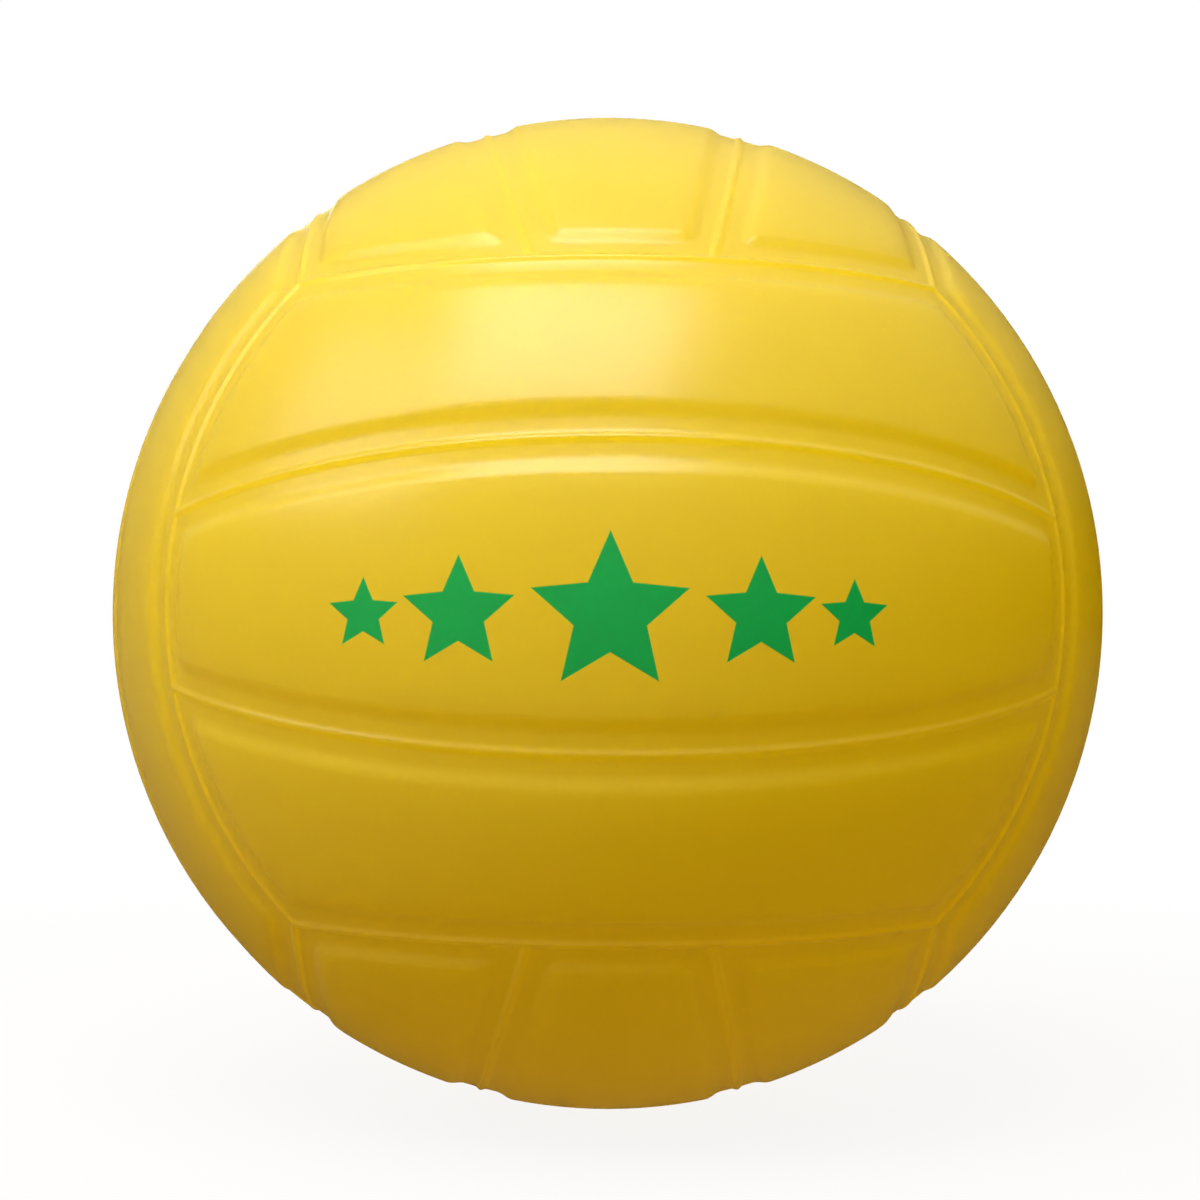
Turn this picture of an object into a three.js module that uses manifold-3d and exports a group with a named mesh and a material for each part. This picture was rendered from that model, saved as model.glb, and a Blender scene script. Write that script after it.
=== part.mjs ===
// Inflatable play ball with a moulded volleyball relief, in millimetres, +Z up.
// The origin is the ball's centre, the front is towards -Y and the valve is at the back, on +Y.
// A hollow one-piece vinyl skin carries the relief, a soft valve insert sits in a thickened seat
// of the skin, and a push-in plug closes the insert's air bore.
import * as THREE from 'three';
import { mergeVertices } from 'three/addons/utils/BufferGeometryUtils.js';
import Module from 'manifold-3d';

// Ball skin
const BALL_RADIUS = 105; // to the crown of the panels
const SKIN_WALL = 1.2;

// Relief along every seam: a channel with rounded shoulders and a bead along its middle
const CHANNEL_DEPTH = 0.93; // below the panel crown
const CHANNEL_FLOOR = 3.1; // half the width of the level floor
const CHANNEL_REACH = 7.3; // half the width where the shoulders meet the panels
const BEAD_HALF_WIDTH = 1.5;
const BEAD_HEIGHT = 0.42; // above the channel floor

// Seam layout, as angles seen from the ball's centre
const STRIP_SEAM_ANGLE = THREE.MathUtils.degToRad(15); // face centre to the seam beside it
const BORDER_ANGLE = THREE.MathUtils.degToRad(35.8); // face centre to the middle of its border

// Valve plug
const HEAD_OVERLAP = 2.4; // head beyond the bore
const HEAD_THICKNESS = 1.2;
const HEAD_EDGE = 0.4; // bevel of the head's upper edge
const HEAD_SINK = 0.2; // how far the head lies below the rim
const SHANK_LENGTH = 14;
const TIP_LENGTH = 1.4; // tapered end of the shank
const TIP_TAPER = 0.7;
const RIB_COUNT = 3;
const RIB_WIDTH = 1;

// Valve insert
const BORE_RADIUS = 2.2;
const NECK_WALL = 1.1; // around the head's recess
const RIM_OVERHANG = 2.4; // rim beyond the neck
const RIM_THICKNESS = 1.5;
const FLANGE_WIDTH = 3; // inner flange beyond the neck
const FLANGE_THICKNESS = 1.6;
const BARREL_WALL = 2;
const BARREL_SPARE = 2; // barrel beyond the plug's tip
const NOTCH_WIDTH = 3.2; // nail notch for lifting the head
const NOTCH_REACH = 1.6; // into the rim
const NOTCH_DEPTH = 1;

// Valve seat in the skin
const SEAT_EXTRA = 2.6; // thickening inside the wall
const SEAT_MARGIN = 5; // seat beyond the flange

// Clearances
const HEAD_GAP = 0.3; // around the head in its recess
const SHANK_GAP = 0.3; // around the shank in the bore
const RIB_GAP = 0.08; // around the sealing ribs
const SEAT_GAP = 0.2; // around the insert in the skin

// Facets
const VALVE_SIDES = 40;
const MERGE_DISTANCE = 1e-4;
const CUT_MARGIN = 5; // how far a cutting solid runs past what it cuts

const YELLOW_VINYL = new THREE.MeshStandardMaterial({ color: 0xe3ba1f, roughness: 0.45, metalness: 0 });
const VALVE_VINYL = new THREE.MeshStandardMaterial({ color: 0xd2a817, roughness: 0.55, metalness: 0 });
const WHITE_PLUG = new THREE.MeshStandardMaterial({ color: 0xe9e7e0, roughness: 0.4, metalness: 0 });

const wasm = await Module();
wasm.setup();

// Seam curves on a unit ball. Each face has its own axes, kept as x along its strips, y across
// them and z out of the face. A corner, where three faces meet, has the same share of each axis.
const CORNER = 1 / Math.sqrt(3);

// A border is a plane cut through two corners and its own middle, tilted off the strip axis.
const BORDER_TILT = Math.atan2(Math.sin(BORDER_ANGLE) - CORNER, Math.cos(BORDER_ANGLE) - CORNER);
const BORDER_LATITUDE = BORDER_ANGLE - BORDER_TILT;
const CORNER_TURN = Math.asin(CORNER / Math.cos(BORDER_LATITUDE));
const BORDER_RADIUS = BALL_RADIUS * Math.cos(BORDER_LATITUDE);

// Point on the border beside a side strip; turn is the angle around the cut, 0 at its middle.
function borderPoint(turn) {
  const level = Math.sin(BORDER_LATITUDE);
  const reach = Math.cos(BORDER_LATITUDE) * Math.cos(turn);
  return new THREE.Vector3(
    Math.cos(BORDER_LATITUDE) * Math.sin(turn),
    level * Math.cos(BORDER_TILT) + reach * Math.sin(BORDER_TILT),
    reach * Math.cos(BORDER_TILT) - level * Math.sin(BORDER_TILT),
  );
}

// Point on the border at a strip's end, which is the neighbouring face's side border.
function endPoint(turn, side) {
  const beside = borderPoint(turn);
  return new THREE.Vector3(side * beside.z, beside.x, beside.y);
}

// Point on the seam between two strips of a face, on a great circle through the strip axis.
function seamPoint(turn, side) {
  return new THREE.Vector3(
    Math.sin(turn),
    side * Math.cos(turn) * Math.sin(STRIP_SEAM_ANGLE),
    Math.cos(turn) * Math.cos(STRIP_SEAM_ANGLE),
  );
}

// Turn of the end border at which a strip seam runs into it.
function junctionTurn() {
  const rise = Math.tan(STRIP_SEAM_ANGLE);
  const sine = Math.cos(BORDER_LATITUDE);
  const cosine = rise * Math.sin(BORDER_TILT) * Math.cos(BORDER_LATITUDE);
  const level = rise * Math.cos(BORDER_TILT) * Math.sin(BORDER_LATITUDE);
  return Math.asin(level / Math.hypot(sine, cosine)) + Math.atan2(cosine, sine);
}
const JUNCTION_TURN = junctionTurn();
const SEAM_TURN = Math.asin(endPoint(JUNCTION_TURN, 1).x);

// Distances of the facet lines from one side of a strip to the other; the seam itself is the first.
const OUTER_LINES = [0, BEAD_HALF_WIDTH, CHANNEL_FLOOR, CHANNEL_REACH];
const INNER_LINES = [0, CHANNEL_FLOOR, CHANNEL_REACH];
function acrossStrip(width, lines) {
  const farSide = lines.map((distance) => width - distance).reverse();
  return [...lines, width / 2, ...farSide];
}

// Turns of the facet lines along a whole border, with those at the junctions written once.
function borderTurns(lines) {
  const stops = [-CORNER_TURN, -JUNCTION_TURN, JUNCTION_TURN, CORNER_TURN];
  const turns = [stops[0]];
  for (let part = 0; part < 3; part += 1) {
    const width = BORDER_RADIUS * (stops[part + 1] - stops[part]);
    const distances = acrossStrip(width, lines).slice(1);
    turns.push(...distances.map((distance) => stops[part] + distance / BORDER_RADIUS));
  }
  return turns;
}

// Turns of the same lines along a strip seam: end distances kept, the stretch between them scaled.
function seamTurns(lines) {
  const borderEnd = BORDER_RADIUS * CORNER_TURN;
  const seamEnd = BALL_RADIUS * SEAM_TURN;
  const stretch = (seamEnd - CHANNEL_REACH) / (borderEnd - CHANNEL_REACH);
  return borderTurns(lines).map((turn) => {
    const fromMiddle = BORDER_RADIUS * Math.abs(turn);
    const fromEnd = borderEnd - fromMiddle;
    const place = fromEnd < CHANNEL_REACH ? seamEnd - fromEnd : fromMiddle * stretch;
    return (Math.sign(turn) * place) / BALL_RADIUS;
  });
}

// Rise from the channel floor, 0, to the panel, 1, at a distance from the seam.
function shoulder(distance) {
  return THREE.MathUtils.smootherstep(distance, CHANNEL_FLOOR, CHANNEL_REACH);
}

// Distances in millimetres from a point of a face to the end border, side border and strip seam.
function seamDistances(point) {
  const along = Math.abs(point.x);
  const across = Math.abs(point.y);
  const end = Math.asin(point.z * Math.cos(BORDER_TILT) - along * Math.sin(BORDER_TILT));
  const beside = Math.asin(across * Math.cos(BORDER_TILT) - point.z * Math.sin(BORDER_TILT));
  const seam = Math.asin(across * Math.cos(STRIP_SEAM_ANGLE) - point.z * Math.sin(STRIP_SEAM_ANGLE));
  const angles = [end - BORDER_LATITUDE, BORDER_LATITUDE - beside, seam];
  return angles.map((angle) => BALL_RADIUS * Math.abs(angle));
}

// Radius of the panel surface: the shoulders of all nearby seams multiply, which rounds the corners.
function panelRadius(point) {
  const rise = seamDistances(point).reduce((product, distance) => product * shoulder(distance), 1);
  return BALL_RADIUS - CHANNEL_DEPTH * (1 - rise);
}

function outerRadius(point) {
  const nearest = Math.min(...seamDistances(point), BEAD_HALF_WIDTH);
  const crown = 1 - (nearest / BEAD_HALF_WIDTH) ** 2;
  return panelRadius(point) + BEAD_HEIGHT * crown * crown;
}

function innerRadius(point) {
  return panelRadius(point) - SKIN_WALL;
}

// A strip is bounded by two long curves and a stretch of the end border at each end.
function stripBounds(strip, lines) {
  const side = (turn) => borderPoint(turn).multiply(new THREE.Vector3(1, strip, 1));
  const sideBorder = borderTurns(lines).map(side);
  const seam = (edge) => seamTurns(lines).map((turn) => seamPoint(turn, edge));
  if (strip === 0) {
    return { low: seam(-1), high: seam(1), from: -JUNCTION_TURN, to: JUNCTION_TURN };
  }
  if (strip > 0) {
    return { low: seam(1), high: sideBorder, from: JUNCTION_TURN, to: CORNER_TURN };
  }
  return { low: sideBorder, high: seam(-1), from: -CORNER_TURN, to: -JUNCTION_TURN };
}

// Grid of unit directions over one strip: rows follow the strip's end shape, blended from end to end,
// and columns keep their distances from the two long sides.
function stripGrid(strip, lines) {
  const { low, high, from, to } = stripBounds(strip, lines);
  const last = low.length - 1;
  const seamPlaces = seamTurns(lines);
  const endWidth = BORDER_RADIUS * (to - from);
  return low.map((start, row) => {
    const finish = high[row];
    const atEnd = row === 0 || row === last;
    const width = atEnd ? endWidth : BALL_RADIUS * start.angleTo(finish);
    const along = (seamPlaces[row] + SEAM_TURN) / (2 * SEAM_TURN);
    return acrossStrip(width, lines).map((distance) => {
      const across = distance / width;
      const turn = THREE.MathUtils.lerp(from, to, across);
      const nearEnd = endPoint(turn, -1);
      const farEnd = endPoint(turn, 1);
      const nearLine = low[0].clone().lerp(high[0], across);
      const farLine = low[last].clone().lerp(high[last], across);
      const bow = nearEnd.sub(nearLine).lerp(farEnd.sub(farLine), along);
      return start.clone().lerp(finish, across).add(bow).normalize();
    });
  });
}

// The six faces: axes along, across and out of each; strips turn by a quarter from face to face.
const AXES = {
  x: new THREE.Vector3(1, 0, 0),
  y: new THREE.Vector3(0, 1, 0),
  z: new THREE.Vector3(0, 0, 1),
};
const FACE_AXES = [
  [AXES.x, AXES.z, AXES.y],
  [AXES.z, AXES.y, AXES.x],
  [AXES.y, AXES.x, AXES.z],
];

// Closed surface over all eighteen strips at the radius that a function gives for each direction.
function ballSurface(radiusAt, lines) {
  const positions = [];
  const triangles = [];
  for (const [along, across, axis] of FACE_AXES) {
    for (const sign of [-1, 1]) {
      for (const strip of [-1, 0, 1]) {
        const grid = stripGrid(strip, lines);
        const columns = grid[0].length;
        const base = positions.length / 3;
        for (const direction of grid.flat()) {
          const place = new THREE.Vector3()
            .addScaledVector(along, direction.x)
            .addScaledVector(across, direction.y)
            .addScaledVector(axis, sign * direction.z)
            .multiplyScalar(radiusAt(direction));
          positions.push(place.x, place.y, place.z);
        }
        for (let row = 0; row + 1 < grid.length; row += 1) {
          for (let column = 0; column + 1 < columns; column += 1) {
            const a = base + row * columns + column;
            const b = a + columns;
            const quad = sign < 0 ? [a, b, b + 1, a, b + 1, a + 1] : [a, b + 1, b, a, a + 1, b + 1];
            triangles.push(...quad);
          }
        }
      }
    }
  }
  const geometry = new THREE.BufferGeometry();
  geometry.setAttribute('position', new THREE.Float32BufferAttribute(positions, 3));
  geometry.setIndex(triangles);
  return geometry;
}

// Solid of a closed geometry, for joining and cutting
function solidOf(geometry) {
  const bare = geometry.clone();
  bare.deleteAttribute('normal');
  bare.deleteAttribute('uv');
  const merged = mergeVertices(bare, MERGE_DISTANCE);
  const mesh = new wasm.Mesh({
    numProp: 3,
    vertProperties: new Float32Array(merged.attributes.position.array),
    triVerts: new Uint32Array(merged.index.array),
  });
  return new wasm.Manifold(mesh);
}

function geometryOf(solid) {
  const mesh = solid.getMesh();
  const geometry = new THREE.BufferGeometry();
  geometry.setAttribute('position', new THREE.Float32BufferAttribute(mesh.vertProperties, 3));
  geometry.setIndex(Array.from(mesh.triVerts));
  geometry.computeVertexNormals();
  return geometry;
}

// Round disc on the valve's axis between two heights along +Y
function valveDisc(radius, bottom, top) {
  const disc = new THREE.CylinderGeometry(radius, radius, top - bottom, VALVE_SIDES);
  return solidOf(disc.translate(0, (bottom + top) / 2, 0));
}

// Heights along the valve's axis and radii that the skin, insert and plug share
const RIM_FACE = BALL_RADIUS;
const RIM_UNDERSIDE = RIM_FACE - RIM_THICKNESS;
const RECESS_FLOOR = RIM_FACE - HEAD_SINK - HEAD_THICKNESS;
const SEAT_FACE = BALL_RADIUS - SKIN_WALL - SEAT_EXTRA;
const FLANGE_END = SEAT_FACE - FLANGE_THICKNESS;
const PLUG_TIP = RECESS_FLOOR - SHANK_LENGTH;
const BARREL_END = PLUG_TIP - BARREL_SPARE;
const HEAD_RADIUS = BORE_RADIUS + HEAD_OVERLAP;
const RECESS_RADIUS = HEAD_RADIUS + HEAD_GAP;
const NECK_RADIUS = RECESS_RADIUS + NECK_WALL;
const RIM_RADIUS = NECK_RADIUS + RIM_OVERHANG;
const FLANGE_RADIUS = NECK_RADIUS + FLANGE_WIDTH;
const BARREL_RADIUS = BORE_RADIUS + BARREL_WALL;

function ballSkin() {
  const seat = valveDisc(FLANGE_RADIUS + SEAT_MARGIN, SEAT_FACE, BALL_RADIUS);
  const cavity = solidOf(ballSurface(innerRadius, INNER_LINES)).subtract(seat);
  const rimPocket = valveDisc(RIM_RADIUS + SEAT_GAP, RIM_UNDERSIDE, BALL_RADIUS + CUT_MARGIN);
  const neckHole = valveDisc(NECK_RADIUS + SEAT_GAP, SEAT_FACE - CUT_MARGIN, BALL_RADIUS);
  const ball = solidOf(ballSurface(outerRadius, OUTER_LINES));
  return geometryOf(ball.subtract(cavity).subtract(rimPocket).subtract(neckHole));
}

function valveInsert() {
  const profile = [
    [BORE_RADIUS, BARREL_END],
    [BARREL_RADIUS, BARREL_END],
    [BARREL_RADIUS, FLANGE_END],
    [FLANGE_RADIUS, FLANGE_END],
    [FLANGE_RADIUS, SEAT_FACE],
    [NECK_RADIUS, SEAT_FACE],
    [NECK_RADIUS, RIM_UNDERSIDE],
    [RIM_RADIUS, RIM_UNDERSIDE],
    [RIM_RADIUS, RIM_FACE],
    [RECESS_RADIUS, RIM_FACE],
    [RECESS_RADIUS, RECESS_FLOOR],
    [BORE_RADIUS, RECESS_FLOOR],
    [BORE_RADIUS, BARREL_END],
  ];
  const points = profile.map(([radius, height]) => new THREE.Vector2(radius, height));
  const bush = solidOf(new THREE.LatheGeometry(points, VALVE_SIDES));
  const length = RECESS_RADIUS + NOTCH_REACH;
  const notch = new THREE.BoxGeometry(length, NOTCH_DEPTH + CUT_MARGIN, NOTCH_WIDTH);
  notch.translate(length / 2, RIM_FACE - NOTCH_DEPTH + (NOTCH_DEPTH + CUT_MARGIN) / 2, 0);
  return geometryOf(bush.subtract(solidOf(notch)));
}

function valvePlug() {
  const shankRadius = BORE_RADIUS - SHANK_GAP;
  const ribRadius = BORE_RADIUS - RIB_GAP;
  const top = RIM_FACE - HEAD_SINK;
  const straightEnd = PLUG_TIP + TIP_LENGTH;
  const ribPitch = (RECESS_FLOOR - straightEnd) / (RIB_COUNT + 1);
  const profile = [
    [0, PLUG_TIP],
    [shankRadius - TIP_TAPER, PLUG_TIP],
    [shankRadius, straightEnd],
  ];
  for (let rib = 1; rib <= RIB_COUNT; rib += 1) {
    const middle = straightEnd + rib * ribPitch;
    profile.push([shankRadius, middle - RIB_WIDTH / 2]);
    profile.push([ribRadius, middle]);
    profile.push([shankRadius, middle + RIB_WIDTH / 2]);
  }
  profile.push([shankRadius, RECESS_FLOOR]);
  profile.push([HEAD_RADIUS, RECESS_FLOOR]);
  profile.push([HEAD_RADIUS, top - HEAD_EDGE]);
  profile.push([HEAD_RADIUS - HEAD_EDGE, top]);
  profile.push([0, top]);
  const points = profile.map(([radius, height]) => new THREE.Vector2(radius, height));
  return new THREE.LatheGeometry(points, VALVE_SIDES);
}

function named(name, geometry, material) {
  const mesh = new THREE.Mesh(geometry, material);
  mesh.name = name;
  return mesh;
}

const ball = new THREE.Group();
ball.add(named('ball_skin', ballSkin(), YELLOW_VINYL));
ball.add(named('valve_insert', valveInsert(), VALVE_VINYL));
ball.add(named('valve_plug', valvePlug(), WHITE_PLUG));

export default ball;
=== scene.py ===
"""Inflatable play ball with a moulded volleyball relief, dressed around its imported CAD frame.

Metres, +Z up. The ball's centre is the origin, the front is towards -Y and the valve is at the back, on +Y.
"""

import itertools
import logging
import math
from dataclasses import dataclass, field
from enum import Enum, IntEnum
from typing import Union

import bpy
import numpy as np
from mathutils import Matrix, Vector


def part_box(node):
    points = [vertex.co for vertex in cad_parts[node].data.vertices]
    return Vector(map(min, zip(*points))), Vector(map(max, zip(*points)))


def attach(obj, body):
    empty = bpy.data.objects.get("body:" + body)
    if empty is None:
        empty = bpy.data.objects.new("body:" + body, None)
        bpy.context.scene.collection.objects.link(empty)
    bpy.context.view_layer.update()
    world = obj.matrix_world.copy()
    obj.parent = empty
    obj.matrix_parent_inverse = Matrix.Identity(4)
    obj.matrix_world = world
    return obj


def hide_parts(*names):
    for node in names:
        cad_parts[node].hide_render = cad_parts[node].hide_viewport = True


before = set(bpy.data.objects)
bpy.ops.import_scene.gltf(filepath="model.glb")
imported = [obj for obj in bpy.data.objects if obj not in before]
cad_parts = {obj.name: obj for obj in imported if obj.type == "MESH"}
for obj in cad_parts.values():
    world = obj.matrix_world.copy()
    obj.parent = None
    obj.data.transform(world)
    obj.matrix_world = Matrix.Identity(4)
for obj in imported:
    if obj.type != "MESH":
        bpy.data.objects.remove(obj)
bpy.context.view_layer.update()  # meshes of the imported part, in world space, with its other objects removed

MM = 0.001
FULL_TURN = 2.0 * math.pi
WELD_DISTANCE = 1e-8
MAP_NAME = "OFBake"
# share of channel depth on the skin, also the mask of the painted shade in its channels
CHANNEL_ATTRIBUTE = "channel"
WHITE = (1.0, 1.0, 1.0, 1.0)
ARC_STEPS = 4  # steps of a rounded corner
ARC_HOLD = 0.3  # from the end of a corner's arc to the next point of the flat side, in arc radii
FACE_AXES = ((0, 2, 1), (2, 1, 0), (1, 0, 2))  # numbers of the axes along, across and out of a face

Array = np.ndarray
Colour = tuple[float, float, float, float]
Value = Union["Shade", float, tuple]

log = logging.getLogger("play_ball")


class Body(Enum):
    """CAD bodies that the pieces ride on."""

    BALL = "ball"
    PLUG = "plug"


class Node(Enum):
    """CAD nodes that the pieces stand for."""

    SKIN = "ball_skin"
    INSERT = "valve_insert"
    PLUG = "valve_plug"


class Slot(Enum):
    """Material slots of the record."""

    SKIN = "yellow_vinyl"
    INSERT = "valve_vinyl"
    PLUG = "white_plug"


class Strip(IntEnum):
    """The three panels of a face, across it from its low side."""

    LOW = 0
    MIDDLE = 1
    HIGH = 2


class Wall(Enum):
    """The two surfaces of the hollow skin."""

    OUTER = "outer"
    INNER = "inner"


def srgb(red: int, green: int, blue: int) -> Colour:
    """Linear colour of a screen colour with channels from 0 to 255.

    Args:
        red, green, blue: Channels as a picture editor shows them.

    Returns:
        Linear red, green, blue and an alpha of one.
    """
    screen = np.array([red, green, blue]) / 255.0
    linear = np.where(screen <= 0.04045, screen / 12.92, ((screen + 0.055) / 1.055) ** 2.4)
    return (*(float(channel) for channel in linear), 1.0)


def smootherstep(value: Array, low: float, high: float) -> Array:
    """Ramp from 0 at low to 1 at high that is level at both ends: t cubed times (6 t t - 15 t + 10)."""
    t = np.clip((value - low) / (high - low), 0.0, 1.0)
    return t**3 * (t * (6.0 * t - 15.0) + 10.0)


def lerp(start: Array | float, finish: Array | float, share: Array) -> Array:
    """Straight blend from start at share 0 to finish at share 1."""
    return start + (finish - start) * share


@dataclass
class Patch:
    """Grid of surface points with what is stored on them.

    Attributes:
        points: Places, rows by columns by 3.
        chart: Places on the map that the finish is kept in, rows by columns by 2.
        channel: Share of channel floor, 1, against panel, 0, rows by columns.
        flip: Whether the faces run the other way round, so that they point outwards.
        hole: Rows and columns of cells that are left out, as two slices.
    """

    points: Array
    chart: Array
    channel: Array
    flip: bool = False
    hole: tuple[slice, slice] | None = None

    def quads(self) -> Array:
        """Corner numbers of the cells, counted through the grid row by row.

        Returns:
            Four numbers to a row, and a row for each cell outside the hole.
        """
        rows, columns = self.points.shape[:2]
        index = np.arange(rows * columns).reshape(rows, columns)
        corners = np.stack([index[:-1, :-1], index[1:, :-1], index[1:, 1:], index[:-1, 1:]], axis=-1)
        kept = np.ones(corners.shape[:2], bool)
        if self.hole is not None:
            kept[self.hole] = False
        cells = corners[kept]
        return cells[:, ::-1] if self.flip else cells


def assemble(name: str, patches: list[Patch]) -> bpy.types.Object:
    """Welds patches into one closed, smooth piece.

    Points closer than the weld distance become one. A cell whose neighbouring corners fall together, as at
    a pole, keeps its remaining three corners.

    Args:
        name: Name of the piece.
        patches: Grids whose borders meet point to point.

    Returns:
        The new mesh object, with its place in its mesh.
    """
    starts = np.cumsum([0] + [patch.points.shape[0] * patch.points.shape[1] for patch in patches])
    points = np.concatenate([patch.points.reshape(-1, 3) for patch in patches])
    chart = np.concatenate([patch.chart.reshape(-1, 2) for patch in patches])
    channel = np.concatenate([patch.channel.ravel() for patch in patches])
    quads = np.concatenate([patch.quads() + start for patch, start in zip(patches, starts)])

    cells = np.round(points / WELD_DISTANCE).astype(np.int64)
    _, first, welded = np.unique(cells, axis=0, return_index=True, return_inverse=True)
    corners = welded.ravel()[quads]
    distinct = corners != np.roll(corners, 1, axis=1)
    sides = distinct.sum(axis=1)
    distinct &= (sides >= 3)[:, None]
    sides = sides[sides >= 3]

    mesh = bpy.data.meshes.new(name)
    mesh.vertices.add(len(first))
    mesh.vertices.foreach_set("co", points[first].astype(np.float32).ravel())
    mesh.loops.add(int(sides.sum()))
    mesh.loops.foreach_set("vertex_index", corners[distinct].astype(np.int32))
    mesh.polygons.add(len(sides))
    mesh.polygons.foreach_set("loop_start", (np.cumsum(sides) - sides).astype(np.int32))
    mesh.update(calc_edges=True)
    mesh.shade_smooth()
    layer = mesh.uv_layers.new(name=MAP_NAME)
    layer.uv.foreach_set("vector", chart[quads][distinct].astype(np.float32).ravel())
    attribute = mesh.attributes.new(CHANNEL_ATTRIBUTE, "FLOAT", "POINT")
    attribute.data.foreach_set("value", channel[first].astype(np.float32))

    piece = bpy.data.objects.new(name, mesh)
    bpy.context.scene.collection.objects.link(piece)
    return piece


class Shade:
    """Shader value that adds Math nodes when it is used in an expression."""

    def __init__(self, graph: "ShaderGraph", socket: bpy.types.NodeSocket) -> None:
        """Keeps the node tree's wrapper and the socket that gives the value."""
        self.graph = graph
        self.socket = socket

    def __add__(self, other: Value) -> "Shade":
        """Sum of two values."""
        return self.graph.math("ADD", self, other)

    def __radd__(self, other: Value) -> "Shade":
        """Sum with the number on the left."""
        return self.graph.math("ADD", other, self)

    def __sub__(self, other: Value) -> "Shade":
        """Difference of two values."""
        return self.graph.math("SUBTRACT", self, other)

    def __rsub__(self, other: Value) -> "Shade":
        """Difference with the number on the left."""
        return self.graph.math("SUBTRACT", other, self)

    def __mul__(self, other: Value) -> "Shade":
        """Product of two values."""
        return self.graph.math("MULTIPLY", self, other)

    def __rmul__(self, other: Value) -> "Shade":
        """Product with the number on the left."""
        return self.graph.math("MULTIPLY", other, self)

    def __truediv__(self, other: Value) -> "Shade":
        """Quotient of two values."""
        return self.graph.math("DIVIDE", self, other)

    def __abs__(self) -> "Shade":
        """Size of a value without its sign."""
        return self.graph.math("ABSOLUTE", self)

    def above(self, limit: float) -> "Shade":
        """One where the value is above the limit, and zero elsewhere."""
        return self.graph.math("GREATER_THAN", self, limit)

    def below(self, limit: float) -> "Shade":
        """One where the value is below the limit, and zero elsewhere."""
        return self.graph.math("LESS_THAN", self, limit)


class ShaderGraph:
    """Node tree of one material or world."""

    def __init__(self, owner: bpy.types.Material | bpy.types.World) -> None:
        """Starts an empty tree.

        Args:
            owner: The material or world that it belongs to.
        """
        owner.use_nodes = True
        self.tree = owner.node_tree
        self.tree.nodes.clear()
        kind = "World" if isinstance(owner, bpy.types.World) else "Material"
        self.output = "ShaderNodeOutput" + kind

    def node(self, kind: str, settings: dict[str, object], sockets: dict[str | int, Value]) -> bpy.types.Node:
        """Adds a node of any kind.

        Args:
            kind: Blender's name of the node's type.
            settings: The node's own options, which are set first because they change its sockets.
            sockets: Values or links of its input sockets, by name or number.

        Returns:
            The new node.
        """
        made = self.tree.nodes.new(kind)
        for name, option in settings.items():
            setattr(made, name, option)
        for name, value in sockets.items():
            if isinstance(value, Shade):
                self.tree.links.new(value.socket, made.inputs[name])
            else:
                made.inputs[name].default_value = value
        return made

    def shade(self, node: bpy.types.Node, output: str | int = 0) -> Shade:
        """Wraps a node's output for use in expressions and sockets."""
        return Shade(self, node.outputs[output])

    def math(self, operation: str, *values: Value, clamp: bool = False) -> Shade:
        """Adds a Math node.

        Args:
            operation: Blender's name of the operation.
            values: Its one, two or three operands.
            clamp: Whether the result stays from zero to one.

        Returns:
            The result as a value.
        """
        settings = {"operation": operation, "use_clamp": clamp}
        return self.shade(self.node("ShaderNodeMath", settings, dict(enumerate(values))))

    def mix_colour(self, share: Value, first: Value, second: Value) -> Shade:
        """Blends two colours, from the first at share 0 to the second at share 1."""
        sockets = {"Factor": share, 6: first, 7: second}
        return self.shade(self.node("ShaderNodeMix", {"data_type": "RGBA"}, sockets), 2)

    def place(self) -> Shade:
        """Object coordinates of the point."""
        return self.shade(self.node("ShaderNodeTexCoord", {}, {}), "Object")

    def axes(self, vector: Shade) -> tuple[Shade, Shade, Shade]:
        """Splits a vector into its three parts."""
        split = self.node("ShaderNodeSeparateXYZ", {}, {"Vector": vector})
        return self.shade(split, "X"), self.shade(split, "Y"), self.shade(split, "Z")

    def noise(self, vector: Shade, grain: float, detail: float) -> Shade:
        """Soft cloudy noise around one half.

        Args:
            vector: Where it is read.
            grain: Size of its spots in metres.
            detail: How many finer layers it has.

        Returns:
            The noise as a value.
        """
        sockets = {"Vector": vector, "Scale": 1.0 / grain, "Detail": detail}
        return self.shade(self.node("ShaderNodeTexNoise", {}, sockets), "Fac")

    def attribute(self, name: str) -> Shade:
        """Number stored on the mesh under a name."""
        return self.shade(self.node("ShaderNodeAttribute", {"attribute_name": name}, {}), "Fac")

    def surface(self, shader: Shade) -> None:
        """Makes a shader the tree's result."""
        self.node(self.output, {}, {"Surface": shader})


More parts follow.
